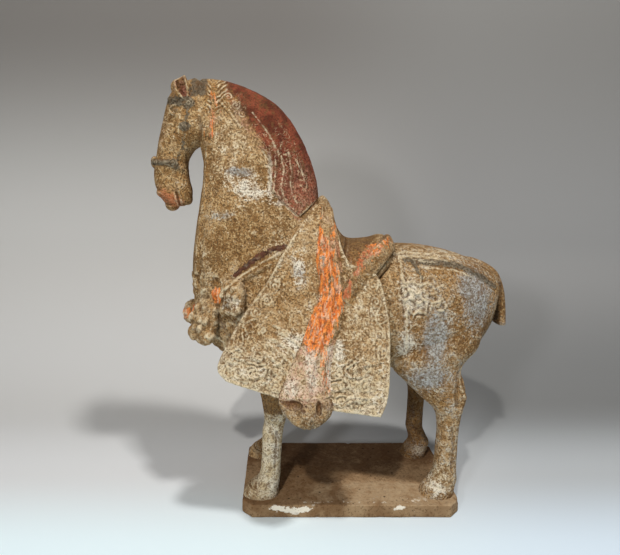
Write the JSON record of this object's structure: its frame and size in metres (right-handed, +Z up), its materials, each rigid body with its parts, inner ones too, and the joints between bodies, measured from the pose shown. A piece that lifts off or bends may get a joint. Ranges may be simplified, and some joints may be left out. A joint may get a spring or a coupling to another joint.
{
  "type": "pottery horse figure",
  "caption": "Painted pottery horse with arched neck, saddle, flared mudguards and draped sash, standing on a low slab plinth with cut corners.",
  "frame": {"origin": "centre of the plinth's underside", "axes": "+Z up, the horse faces -X, its near side is -Y"},
  "size_m": [0.3217, 0.2009, 0.3793],
  "materials": {
    "painted_pottery": "matt fired clay with worn white slip and traces of red, orange and grey paint",
    "bare_pottery": "matt bare fired clay with earth stains and a few patches of white slip"
  },
  "bodies": {
    "root": {"horse": "painted_pottery", "plinth": "bare_pottery"}
  },
  "joints": []
}
